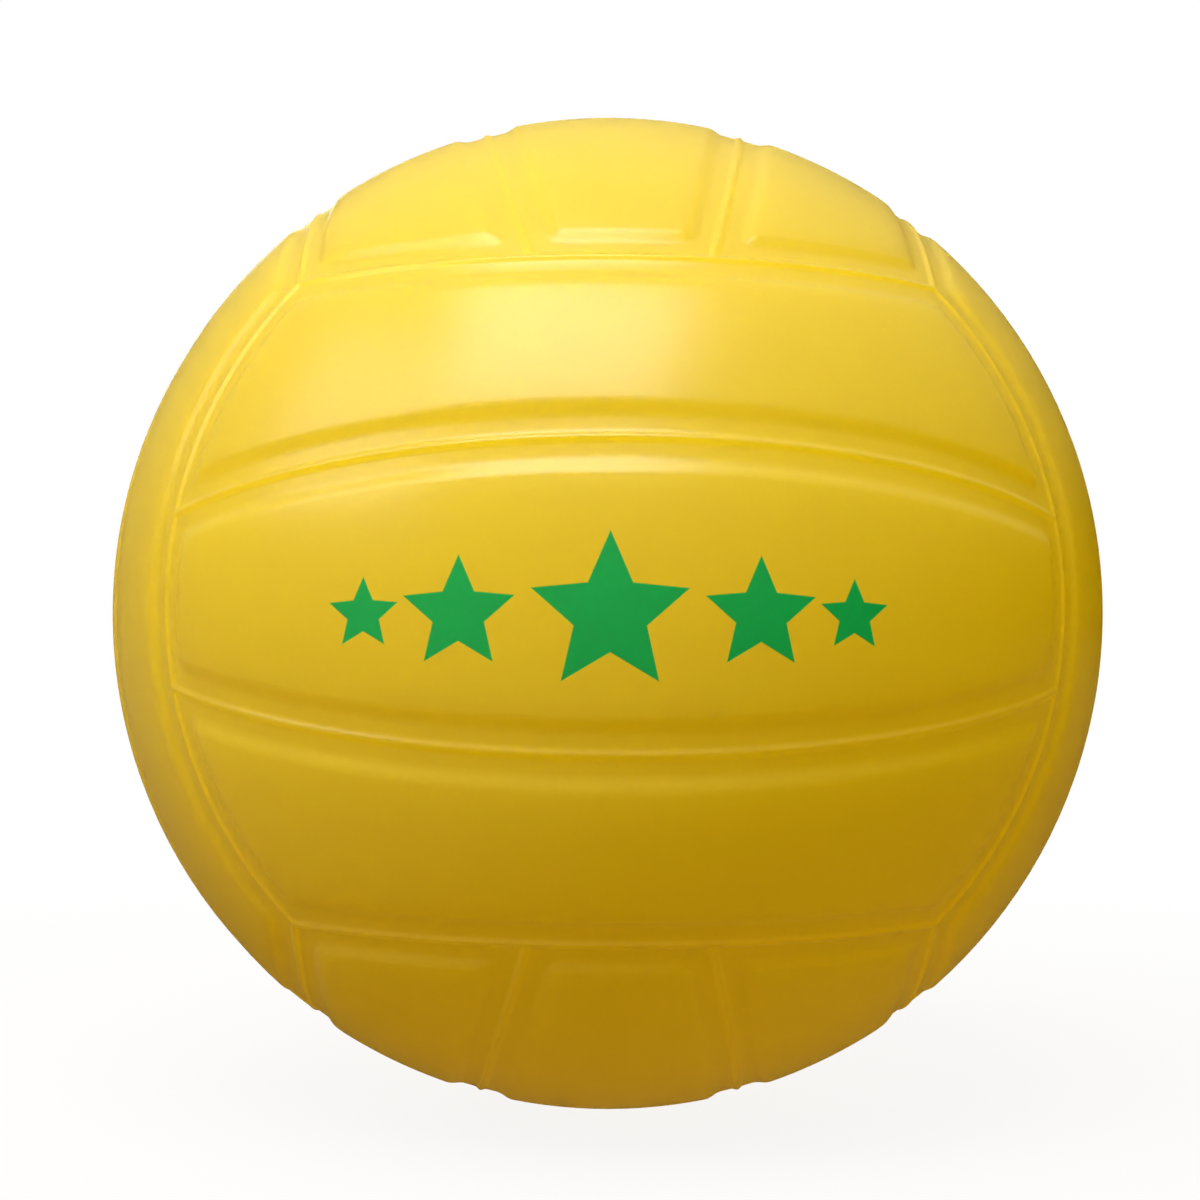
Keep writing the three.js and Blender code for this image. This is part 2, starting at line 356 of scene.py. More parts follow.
@dataclass(frozen=True)
class StarRow:
    """Row of five plain stars printed on the front middle panel, the largest in the middle.

    Attributes:
        ink: Colour of the print.
        centre: Middle of the row along X and Z.
        radii: Tip radius of the middle star, the next pair and the outer pair.
        offsets: How far along X their middles are from the row's.
        notch_share: Radius of a star's inner corners as a share of its tips'.
        tips: How many tips a star has.
        edge: Width over which the print's edge fades.
        gloss: How much smoother the ink is than the vinyl.
    """

    ink: Colour = srgb(0, 172, 74)
    centre: tuple[float, float] = (-2.6 * MM, -3.2 * MM)
    radii: tuple[float, float, float] = (14.0 * MM, 10.0 * MM, 6.4 * MM)
    offsets: tuple[float, float, float] = (0.0, 25.5 * MM, 42.0 * MM)
    notch_share: float = 0.46
    tips: int = 5
    edge: float = 0.15 * MM
    gloss: float = 0.06

    def mask(self, graph: ShaderGraph, place: Shade) -> Shade:
        """Where the print is.

        A point is taken to its nearest star's middle, scaled by that star's radius and folded into one half
        of one tip. There the star's edge is a straight line from the tip to the inner corner, and the print
        is on the middle's side of it.

        Args:
            graph: Node tree that it goes into.
            place: Object coordinates.

        Returns:
            One on the print, zero off it.
        """
        x, y, z = graph.axes(place)
        aside = abs(x - self.centre[0])
        starts = [offset - radius for offset, radius in zip(self.offsets, self.radii)]
        ends = [offset + radius for offset, radius in zip(self.offsets, self.radii)]
        near, far = (aside.above((end + start) / 2.0) for end, start in zip(ends, starts[1:]))
        radius, offset = (
            first + (second - first) * near + (third - second) * far
            for first, second, third in (self.radii, self.offsets)
        )
        across = (aside - offset) / radius
        up = (z - self.centre[1]) / radius

        sector = FULL_TURN / self.tips
        turn = graph.math("ARCTAN2", across, up) / sector
        folded = graph.math("PINGPONG", turn, 0.5) * sector
        reach = graph.math("SQRT", across * across + up * up)
        corner_up = self.notch_share * math.cos(sector / 2.0)
        corner_aside = self.notch_share * math.sin(sector / 2.0)
        edge_length = math.hypot(1.0 - corner_up, corner_aside)
        normal_up = corner_aside / edge_length
        normal_aside = (1.0 - corner_up) / edge_length
        outwards = normal_up * graph.math("COSINE", folded) + normal_aside * graph.math("SINE", folded)
        inside = (normal_up - reach * outwards) * radius
        star = graph.math("ADD", inside / self.edge, 0.5, clamp=True)
        return star * y.below(0.0)


@dataclass(frozen=True)
class Vinyl:
    """Soft moulded plastic with a satin skin.

    Attributes:
        name: Name of the material.
        colour: Its colour on the panels.
        cloud_and_shade_colour: The slightly deeper colour of its cloudy spots, and of painted shade in its
            channels.
        roughness: How matt it is.
        specular: Strength of its reflections.
        spread: How far light spreads inside it.
        spread_shares: How far its red, green and blue spread, as shares of that.
        cloud_grain: Size of the cloudy spots.
        cloud_share: How far the spots lean to the deeper colour.
        channel_shade_share: How far the channels lean to it, as painted shade in the recesses.
        roughness_swing: How much the gloss varies from spot to spot.
        skin_grain: Size of the finest unevenness of the moulded surface.
        skin_height: Its height.
        wave_grain: Size of the broad unevenness.
        wave_height: Its height.
        cloud_detail, skin_detail, wave_detail: How many finer layers these three have.
        motif: What is printed on it, if anything.
    """

    name: str
    colour: Colour
    cloud_and_shade_colour: Colour
    roughness: float
    specular: float = 0.55
    spread: float = 20.0 * MM
    spread_shares: tuple[float, float, float] = (1.0, 0.8, 0.4)
    cloud_grain: float = 45.0 * MM
    cloud_share: float = 0.5
    channel_shade_share: float = 0.25
    roughness_swing: float = 0.08
    skin_grain: float = 0.9 * MM
    skin_height: float = 0.006 * MM
    wave_grain: float = 22.0 * MM
    wave_height: float = 0.05 * MM
    cloud_detail: float = 3.0
    skin_detail: float = 2.0
    wave_detail: float = 1.0
    motif: StarRow | None = None

    def material(self) -> bpy.types.Material:
        """Builds the material.

        The colour leans to the deeper one in cloudy spots, and in the channels as painted shade; the
        roughness follows the spots, and two noises give the fine skin and the broad unevenness of a mould.

        Returns:
            The new material.
        """
        material = bpy.data.materials.new(self.name)
        graph = ShaderGraph(material)
        place = graph.place()
        cloud = graph.noise(place, self.cloud_grain, self.cloud_detail)
        channel = graph.attribute(CHANNEL_ATTRIBUTE)
        # painted shade: the colour leans darker in the channels, where the relief is recessed
        cloud_and_channel_shade = graph.math("ADD", cloud * self.cloud_share, channel * self.channel_shade_share, clamp=True)
        colour = graph.mix_colour(cloud_and_channel_shade, self.colour, self.cloud_and_shade_colour)
        roughness = self.roughness + (cloud - 0.5) * self.roughness_swing
        if self.motif is not None:
            printed = self.motif.mask(graph, place)
            colour = graph.mix_colour(printed, colour, self.motif.ink)
            roughness = roughness - printed * self.motif.gloss
        fine = graph.noise(place, self.skin_grain, self.skin_detail) * self.skin_height
        broad = graph.noise(place, self.wave_grain, self.wave_detail) * self.wave_height
        bump = graph.node("ShaderNodeBump", {}, {"Distance": 1.0, "Strength": 1.0, "Height": fine + broad})
        sockets = {
            "Base Color": colour,
            "Roughness": roughness,
            "Specular IOR Level": self.specular,
            "Normal": graph.shade(bump),
            "Subsurface Weight": 1.0,
            "Subsurface Radius": self.spread_shares,
            "Subsurface Scale": self.spread,
        }
        shader = graph.node("ShaderNodeBsdfPrincipled", {"subsurface_method": "BURLEY"}, sockets)
        graph.surface(graph.shade(shader))
        return material


@dataclass(frozen=True)
class SeamLayout:
    """Where the seams run, on a unit ball.

    Each of the six faces has its own axes: x along its three strips, y across them and z out of the face.
    A corner, where three faces meet, has the same share of each axis.

    Attributes:
        strip_seam_angle: From a face's centre to the seam beside it, seen from the ball's centre.
        border_angle: From a face's centre to the middle of its border.
        corner: A corner's share of each axis.
    """

    strip_seam_angle: float = math.radians(15.0)
    border_angle: float = math.radians(35.8)
    corner: float = 1.0 / math.sqrt(3.0)

    @property
    def tilt(self) -> float:
        """Tilt of the plane through two corners and the border's middle, off the strip axis.

        Returns:
            The angle.
        """
        rise = math.sin(self.border_angle) - self.corner
        run = math.cos(self.border_angle) - self.corner
        return math.atan2(rise, run)

    @property
    def latitude(self) -> float:
        """Latitude of the border's circle about that plane's normal."""
        return self.border_angle - self.tilt

    @property
    def corner_turn(self) -> float:
        """Angle around the border's circle from its middle to a corner."""
        return math.asin(self.corner / math.cos(self.latitude))

    @property
    def junction_turn(self) -> float:
        """Angle around an end border from its middle to where a strip seam runs into it.

        The seam's plane meets the border's circle where a share of the angle's sine, less a share of its
        cosine, is a fixed level. An arcsine plus an arctangent solves that.

        Returns:
            The angle.
        """
        rise = math.tan(self.strip_seam_angle)
        sine = math.cos(self.latitude)
        cosine = rise * math.sin(self.tilt) * math.cos(self.latitude)
        level = rise * math.cos(self.tilt) * math.sin(self.latitude)
        return math.asin(level / math.hypot(sine, cosine)) + math.atan2(cosine, sine)

    @property
    def seam_turn(self) -> float:
        """Angle along a strip seam from its middle to that junction."""
        return math.asin(float(self.end(np.array(self.junction_turn), 1.0)[0]))

    @property
    def stops(self) -> Array:
        """Turns of a border's first corner, its two junctions and its last corner."""
        corner, junction = self.corner_turn, self.junction_turn
        return np.array([-corner, -junction, junction, corner])

    def border(self, turn: Array, side: float = 1.0) -> Array:
        """Points of the border beside a side strip: a circle at one latitude about a tilted axis.

        Args:
            turn: Angles around the circle, 0 at its middle.
            side: 1 for the high side of the face, -1 for the low side.

        Returns:
            Unit vectors on the face's axes.
        """
        level = math.sin(self.latitude)
        reach = math.cos(self.latitude) * np.cos(turn)
        across = level * math.cos(self.tilt) + reach * math.sin(self.tilt)
        out = reach * math.cos(self.tilt) - level * math.sin(self.tilt)
        return np.stack([math.cos(self.latitude) * np.sin(turn), side * across, out], axis=-1)

    def end(self, turn: Array, side: float) -> Array:
        """Points of the border at a strip's end, which is the neighbouring face's side border."""
        beside = self.border(turn)
        return np.stack([side * beside[..., 2], beside[..., 0], beside[..., 1]], axis=-1)

    def seam(self, turn: Array, side: float) -> Array:
        """Points of a seam between two strips, on a great circle through the strip axis."""
        across = side * math.sin(self.strip_seam_angle) * np.cos(turn)
        return np.stack([np.sin(turn), across, math.cos(self.strip_seam_angle) * np.cos(turn)], axis=-1)

    def distances(self, points: Array) -> Array:
        """Angles from points of a face to its end border, side border and strip seam.

        Each border is a circle of one latitude, so the distance is a difference of latitudes.

        Args:
            points: Unit vectors on the face's axes.

        Returns:
            The three angles, on a last axis.
        """
        along, across, out = np.abs(points[..., 0]), np.abs(points[..., 1]), points[..., 2]
        end = np.arcsin(out * math.cos(self.tilt) - along * math.sin(self.tilt)) - self.latitude
        beside = self.latitude - np.arcsin(across * math.cos(self.tilt) - out * math.sin(self.tilt))
        seam_rise = across * math.cos(self.strip_seam_angle) - out * math.sin(self.strip_seam_angle)
        return np.abs(np.stack([end, beside, np.arcsin(seam_rise)], axis=-1))


@dataclass(frozen=True)
class Relief:
    """Cross-section of every seam: a channel with rounded shoulders and a bead along its middle.

    Attributes:
        depth: Channel floor below the panel crown.
        floor: Half the width of the level floor.
        reach: Half the width where the shoulders meet the panels.
        bead_half_width: Half the width of the bead.
        bead_height: Bead above the channel floor.
        bead_power: How narrow the bead's crest is.
    """

    depth: float = 0.93 * MM
    floor: float = 3.1 * MM
    reach: float = 7.3 * MM
    bead_half_width: float = 1.5 * MM
    bead_height: float = 0.48 * MM
    bead_power: float = 4.0

    def sink(self, distances: Array) -> Array:
        """Share of the channel's depth, where the shoulders of nearby seams multiply and so round corners."""
        return 1.0 - np.prod(smootherstep(distances, self.floor, self.reach), axis=-1)

    def bead(self, distances: Array) -> Array:
        """Height of the bead: one minus the squared share of its half width, raised to its power."""
        nearest = np.minimum(distances.min(axis=-1), self.bead_half_width)
        return self.bead_height * (1.0 - (nearest / self.bead_half_width) ** 2) ** self.bead_power


@dataclass(frozen=True)
class GridLines:
    """How the grid lines lie from one side of a strip to the other.

    Attributes:
        near: Distances of the lines close to a seam, from the seam itself to the panel.
        steps: Number of even steps over the panel between them.
    """

    near: tuple[float, ...]
    steps: int

    def across(self, width: Array) -> Array:
        """Distances of all lines from one side.

        The near lines lie at their distances from both sides, and even steps lie between them.

        Args:
            width: Widths of the strip.

        Returns:
            The distances for each width, on a last axis.
        """
        near = np.array(self.near)
        wide = np.asarray(width)[..., None]
        shares = np.linspace(0.0, 1.0, self.steps + 1)[1:-1]
        middle = near[-1] + shares * (wide - 2.0 * near[-1])
        return np.concatenate([near + 0.0 * wide, middle, wide - near[::-1]], axis=-1)


@dataclass(frozen=True)
class ValveSizes:
    """Heights along the valve's axis and radii about it that the skin, insert and plug share.

    Attributes:
        rim_face: Height of the rim's outer face.
        rim_thickness, head_thickness, flange_thickness: Of the rim, the plug's head and the inner flange.
        head_sink: How far the head lies below the rim's face.
        seat_depth: From the rim's face to the skin's inner face under the flange.
        shank_length: Length of the plug's shank.
        barrel_spare: How far the barrel runs on past the plug's tip.
        bore, head, recess, neck, rim, flange, barrel, seat: Radii of those parts.
        seat_gap: Room that the skin leaves around the rim and the neck.
    """

    rim_face: float
    rim_thickness: float = 1.5 * MM
    head_sink: float = 0.2 * MM
    head_thickness: float = 1.2 * MM
    flange_thickness: float = 1.6 * MM
    seat_depth: float = 3.8 * MM
    shank_length: float = 14.0 * MM
    barrel_spare: float = 2.0 * MM
    bore: float = 2.2 * MM
    head: float = 4.6 * MM
    recess: float = 4.9 * MM
    neck: float = 6.0 * MM
    rim: float = 8.4 * MM
    flange: float = 9.0 * MM
    barrel: float = 4.2 * MM
    seat: float = 14.0 * MM
    seat_gap: float = 0.2 * MM

    @property
    def rim_underside(self) -> float:
        """Height of the rim's underside."""
        return self.rim_face - self.rim_thickness

    @property
    def recess_floor(self) -> float:
        """Height of the floor that the plug's head lies on."""
        return self.rim_face - self.head_sink - self.head_thickness

    @property
    def seat_face(self) -> float:
        """Height of the skin's inner face under the flange."""
        return self.rim_face - self.seat_depth

    @property
    def flange_end(self) -> float:
        """Height of the flange's inner face."""
        return self.seat_face - self.flange_thickness

    @property
    def plug_tip(self) -> float:
        """Height of the plug's inner end."""
        return self.recess_floor - self.shank_length

    @property
    def barrel_end(self) -> float:
        """Height of the barrel's inner end."""
        return self.plug_tip - self.barrel_spare


def rounded_profile(outline: Array, steps: int = ARC_STEPS) -> Array:
    """Open outline with its corners rounded by arcs.

    At each inner corner an arc touches both sides. Its middle lies on the corner's bisector, and its points
    are the touching point turned about that middle in even steps. A short way before and after each arc the
    outline has one more point, which keeps flat sides flat when they are shaded smooth.

    Args:
        outline: Radius, height and rounding of each corner; a rounding of 0 keeps it sharp.
        steps: Steps of an arc.

    Returns:
        Points of the rounded outline, radius and height.
    """
    corners = outline[:, :2]
    rows = [corners[:1]]
    for before, corner, after, radius in zip(corners[:-2], corners[1:-1], corners[2:], outline[1:-1, 2]):
        if radius <= 0.0:
            rows.append(corner[None, :])
            continue
        back = (before - corner) / np.linalg.norm(before - corner)
        ahead = (after - corner) / np.linalg.norm(after - corner)
        half_angle = math.acos(float(np.clip(back @ ahead, -1.0, 1.0))) / 2.0
        touch = radius / math.tan(half_angle)
        bisector = (back + ahead) / np.linalg.norm(back + ahead)
        middle = corner + bisector * radius / math.sin(half_angle)
        sweep = math.pi - 2.0 * half_angle
        shares = np.linspace(0.0, 1.0, steps + 1)[:, None]
        first = corner + back * touch - middle
        last = corner + ahead * touch - middle
        arc = (first * np.sin((1.0 - shares) * sweep) + last * np.sin(shares * sweep)) / math.sin(sweep)
        hold = touch + ARC_HOLD * radius
        ends = corner + np.stack([back, ahead]) * hold
        rows.extend([ends[:1], middle + arc, ends[1:]])
    rows.append(corners[-1:])
    return np.concatenate(rows)


def full_turn(sides: int) -> Array:
    """Angles of a full turn in even steps, closed by the first one.

    Args:
        sides: How many steps there are.

    Returns:
        The angles, one more than the steps.
    """
    turns = np.linspace(0.0, FULL_TURN, sides + 1)
    turns[-1] = 0.0
    return turns


def revolve(profile: Array, turns: Array) -> Array:
    """Carries a profile around the valve's axis, +Y: a radius goes to its cosine on X and its sine on Z.

    Args:
        profile: Points of the outline, radius and height.
        turns: Angles about the axis.

    Returns:
        Grid of points, profile points by angles.
    """
    radius, height = profile[:, :1], profile[:, 1:]
    return np.stack([radius * np.cos(turns), height + 0.0 * turns, radius * np.sin(turns)], axis=-1)


def turned_patch(points: Array) -> Patch:
    """Patch of a revolved grid whose map unrolls it: the turn across, the outline's length up.

    Args:
        points: The grid.

    Returns:
        The patch.
    """
    rows, columns = points.shape[:2]
    steps = np.linalg.norm(np.diff(points, axis=0), axis=-1).mean(axis=1)
    up = np.concatenate([[0.0], np.cumsum(steps)]) / steps.sum()
    chart = np.stack(np.meshgrid(np.linspace(0.0, 1.0, columns), up), axis=-1)
    return Patch(points, chart, np.zeros((rows, columns)))


def dress(piece: bpy.types.Object, material: bpy.types.Material, body: Body, node: Node) -> None:
    """Gives a piece its finish and its place in the frame.

    Args:
        piece: The piece.
        material: Its material.
        body: CAD body that it moves with.
        node: CAD node that it stands for.
    """
    piece.data.materials.append(material)
    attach(piece, body.value)
    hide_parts(node.value)
    log.info("%s: %d faces on body %s", piece.name, len(piece.data.polygons), body.value)


@dataclass
class BallSkin:
    """Hollow one-piece vinyl skin: eighteen raised panels, their channels and beads, and the valve's seat.

    Attributes:
        radius: To the crown of the panels.
        valve: Sizes shared with the valve.
        finish: Its vinyl.
        wall: Thickness of the skin.
        layout: Where the seams run.
        relief: Cross-section of the seams.
        bead_steps, shoulder_steps, panel_steps: Grid steps over a bead's half, a shoulder and a panel.
        bead_crowding: How much closer the bead's steps lie at its crest.
        inner_steps: Grid steps over a panel of the inner surface.
        mouth_along: Cells along the strip that the valve's mouth takes up, with all of the panel's across it.
        mouth_rings: Rings of the grid between the panel and the valve's mouth.
        mouth_edge: Rounding of the mouth's edge.
        apron_edges: Width of the ring outside that edge, in roundings of it.
    """

    radius: float
    valve: ValveSizes
    finish: Vinyl
    wall: float = 1.2 * MM
    layout: SeamLayout = field(default_factory=SeamLayout)
    relief: Relief = field(default_factory=Relief)
    bead_steps: int = 5
    bead_crowding: float = 1.25
    shoulder_steps: int = 7
    panel_steps: int = 12
    inner_steps: int = 12
    mouth_along: int = 20
    mouth_rings: int = 6
    mouth_edge: float = 0.35 * MM
    apron_edges: float = 4.0

    def lines(self, wall: Wall) -> GridLines:
        """Grid lines of a surface: over bead, shoulder and panel outside, over channel and panel inside.

        Args:
            wall: Outer or inner surface.

        Returns:
            The lines.
        """
        if wall is Wall.INNER:
            return GridLines((0.0, self.relief.reach), self.inner_steps)
        shares = np.linspace(0.0, 1.0, self.bead_steps + 1) ** self.bead_crowding
        bead = self.relief.bead_half_width * shares
        shoulder = np.linspace(self.relief.floor, self.relief.reach, self.shoulder_steps + 1)
        return GridLines((*bead, *shoulder), self.panel_steps)

    def border_turns(self, lines: GridLines) -> Array:
        """Turns of the grid lines along a whole border, through its two junctions.

        Args:
            lines: The grid's lines.

        Returns:
            Angles from the border's middle.
        """
        stops = self.layout.stops
        circle = self.radius * math.cos(self.layout.latitude)
        stretches = stops[:-1, None] + lines.across(circle * np.diff(stops)) / circle
        return np.concatenate([stretches[0], stretches[1, 1:], stretches[2, 1:]])

    def seam_turns(self, lines: GridLines) -> Array:
        """Turns of the same lines along a strip seam.

        Distances from the ends are kept as far as a channel reaches, and the stretch between is scaled.

        Args:
            lines: The grid's lines.

        Returns:
            Angles from the seam's middle.
        """
        circle = self.radius * math.cos(self.layout.latitude)
        turns = self.border_turns(lines)
        border_end = circle * self.layout.corner_turn
        seam_end = self.radius * self.layout.seam_turn
        from_middle = circle * np.abs(turns)
        from_end = border_end - from_middle
        stretch = (seam_end - self.relief.reach) / (border_end - self.relief.reach)
        place = np.where(from_end < self.relief.reach, seam_end - from_end, from_middle * stretch)
        return np.sign(turns) * place / self.radius

    def strip_grid(self, strip: Strip, lines: GridLines) -> tuple[Array, Array]:
        """Unit directions over one strip, on its face's axes.

        A row runs straight from one long side to the other, plus the bow of the two end borders, blended from
        end to end. Columns keep their distances from the long sides.

        Args:
            strip: Which of the face's strips.
            lines: The grid's lines.

        Returns:
            Directions, rows by columns by 3, and the shares along and across the strip, by 2.
        """
        layout = self.layout
        border_turns = self.border_turns(lines)
        seam_turns = self.seam_turns(lines)
        sides = [
            layout.border(border_turns, -1.0),
            layout.seam(seam_turns, -1.0),
            layout.seam(seam_turns, 1.0),
            layout.border(border_turns, 1.0),
        ]
        low, high = sides[strip:strip + 2]
        start, finish = layout.stops[strip:strip + 2]
        width = self.radius * np.arccos(np.clip(np.sum(low * high, axis=-1), -1.0, 1.0))
        width[[0, -1]] = self.radius * math.cos(layout.latitude) * (finish - start)
        across = (lines.across(width) / width[:, None])[..., None]
        along = ((seam_turns / layout.seam_turn + 1.0) / 2.0)[:, None, None]
        turns = lerp(start, finish, across[..., 0])
        near_bow = layout.end(turns, -1.0) - lerp(low[0], high[0], across)
        far_bow = layout.end(turns, 1.0) - lerp(low[-1], high[-1], across)
        rows = lerp(low[:, None], high[:, None], across) + lerp(near_bow, far_bow, along)
        shares = np.concatenate([along + 0.0 * across, across], axis=-1)
        return rows / np.linalg.norm(rows, axis=-1, keepdims=True), shares

    def wall_patches(self, wall: Wall) -> list[Patch]:
        """Grids of one surface over all six faces.

        A direction is carried out to the ball's radius, less the channel's sink; the outer surface adds the
        bead and the inner one takes off the wall. Strips turn by a quarter from face to face.

        Args:
            wall: Which surface.

        Returns:
            Eighteen patches, the back middle one with a hole for the valve's mouth.
        """
        lines = self.lines(wall)
        outwards = wall is Wall.OUTER
        patches = []
        for face, sign, strip in itertools.product(range(len(FACE_AXES)), (-1.0, 1.0), Strip):
            directions, shares = self.strip_grid(strip, lines)
            distances = self.radius * self.layout.distances(directions)
            sink = self.relief.sink(distances)
            added = self.relief.bead(distances) if outwards else -self.wall
            height = self.radius - self.relief.depth * sink + added
            axes = np.eye(3)[list(FACE_AXES[face])]
            axes[2] *= sign
            points = (directions * height[..., None]) @ axes
            chart = MapLayout().panel(wall, face, sign, strip, shares)
            patches.append(Patch(points, chart, sink, flip=(sign > 0.0) == outwards))
        self.mouth_of(patches).hole = self.mouth_cells(patches)
        return patches

    def mouth_of(self, patches: list[Patch]) -> Patch:
        """The back face's middle strip, which carries the valve."""
        return patches[len(Strip) + Strip.MIDDLE]

    def mouth_cells(self, patches: list[Patch]) -> tuple[slice, slice]:
        """Cells of the back middle strip that the valve's mouth takes up, around the strip's middle.

        Args:
            patches: Patches of one surface.

        Returns:
            Their rows and columns.
        """
        rows, columns = (count - 1 for count in self.mouth_of(patches).points.shape[:2])
        half_along = self.mouth_along // 2
        half_across = self.panel_steps // 2
        return (
            slice(rows // 2 - half_along, rows // 2 + half_along),
            slice(columns // 2 - half_across, columns // 2 + half_across),
        )

    def mouth_loop(self, patches: list[Patch], values: Array) -> Array:
        """Values of a grid around the hole's edge, in order, starting and ending at its first corner.

        Args:
            patches: Patches of one surface.
            values: Grid of the strip with the hole.

        Returns:
            The values along the edge.
        """
        rows, columns = self.mouth_cells(patches)
        block = values[rows.start:rows.stop + 1, columns.start:columns.stop + 1]
        sides = [block[:-1, 0], block[-1, :-1], block[:0:-1, -1], block[0, :0:-1], block[:1, 0]]
        return np.concatenate(sides)

    def mouth_patch(self, outer: list[Patch], inner: list[Patch]) -> Patch:
        """The valve's mouth: from the panel into the rim's pocket, through the neck hole and over the seat.

        Rings run from the square hole in the outer surface to a circle, down a rounded outline about the
        valve's axis, and out to the square hole in the inner surface.

        Args:
            outer, inner: Patches of the two surfaces.

        Returns:
            One patch of rings.
        """
        valve = self.valve
        outer_loop = self.mouth_loop(outer, self.mouth_of(outer).points)
        inner_loop = self.mouth_loop(inner, self.mouth_of(inner).points)
        edge = self.mouth_edge
        small = edge / 2.0
        pocket = valve.rim + valve.seat_gap
        hole = valve.neck + valve.seat_gap
        apron = pocket + self.apron_edges * edge
        inner_radius = self.radius - self.wall
        outline = np.array([
            (apron, math.sqrt(self.radius**2 - apron**2), 0.0),
            (pocket, math.sqrt(self.radius**2 - pocket**2), edge),
            (pocket, valve.rim_underside, 0.0),
            (hole, valve.rim_underside, small),
            (hole, valve.seat_face, small),
            (valve.seat, valve.seat_face, edge),
            (valve.seat, math.sqrt(inner_radius**2 - valve.seat**2), 0.0),
        ])
        rings = revolve(rounded_profile(outline), self.ring_turns(outer_loop))
        shares = np.linspace(0.0, 1.0, self.mouth_rings + 1)[:-1, None, None]
        outside = self.on_ball(lerp(outer_loop, rings[0], shares), self.radius)
        inside = self.on_ball(lerp(inner_loop, rings[-1], shares), inner_radius)
        outside[0], inside[0] = outer_loop, inner_loop
        points = np.concatenate([outside, rings, inside[::-1]])
        chart_loop = self.mouth_loop(outer, self.mouth_of(outer).chart)
        middle = (chart_loop.min(axis=0) + chart_loop.max(axis=0)) / 2.0
        shrink = np.linspace(1.0, 0.0, len(points))[:, None, None]
        chart = middle + (chart_loop - middle) * shrink
        return Patch(points, chart, np.zeros(points.shape[:2]))

    def ring_turns(self, loop: Array) -> Array:
        """Even turns about the valve's axis, in a loop's own sense and as near to its points as can be.

        Args:
            loop: Points around the axis, the last the same as the first.

        Returns:
            One angle for each point.
        """
        angles = np.unwrap(np.arctan2(loop[:, 2], loop[:, 0]))
        even = np.linspace(0.0, 1.0, len(loop)) * FULL_TURN * np.sign(angles[-1] - angles[0])
        turns = even + np.mean(angles[:-1] - even[:-1])
        turns[-1] = turns[0]
        return turns

    def on_ball(self, points: Array, radius: float) -> Array:
        """Points moved along the valve's axis onto a ball of that radius."""
        aside = points[..., 0] ** 2 + points[..., 2] ** 2
        return np.stack([points[..., 0], np.sqrt(radius**2 - aside), points[..., 2]], axis=-1)

    def build(self) -> bpy.types.Object:
        """Makes the skin and dresses it.

        Returns:
            The finished piece.
        """
        outer = self.wall_patches(Wall.OUTER)
        inner = self.wall_patches(Wall.INNER)
        piece = assemble("vinyl_skin", [*outer, *inner, self.mouth_patch(outer, inner)])
        dress(piece, self.finish.material(), Body.BALL, Node.SKIN)
        return piece


@dataclass(frozen=True)
class MapLayout:
    """Places of the skin's panels on its map: the printed panel along the top third, the rest in rows below.

    Attributes:
        printed_share: Height of the printed panel's band.
        inner_share: Height of the band for the hidden inner surface.
        margin: Gap kept around each place, as a share of it.
        columns, rows: Places side by side and one above the other, below the printed panel.
    """

    printed_share: float = 0.32
    inner_share: float = 0.05
    margin: float = 0.03
    columns: int = 3
    rows: int = 6

    def panel(self, wall: Wall, face: int, sign: float, strip: Strip, shares: Array) -> Array:
        """Map places of a panel's points.

        Args:
            wall: Outer or inner surface.
            face: Number of the face's axis.
            sign: Which of the two faces on that axis.
            strip: Which strip of the face.
            shares: Shares along and across the strip.

        Returns:
            Places on the map, from 0 to 1.
        """
        printed = wall is Wall.OUTER and face == 0 and sign < 0.0 and strip is Strip.MIDDLE
        inset = self.margin + shares * (1.0 - 2.0 * self.margin)
        if printed:
            return np.array([0.0, 1.0 - self.printed_share]) + inset * [1.0, self.printed_share]
        row = 2 * face + (sign > 0.0)
        low, height = 0.0, self.inner_share
        if wall is Wall.OUTER:
            low, height = self.inner_share, 1.0 - self.printed_share - self.inner_share
        cell = np.array([1.0 / self.columns, height / self.rows])
        return np.array([strip, row]) * cell + [0.0, low] + inset * cell


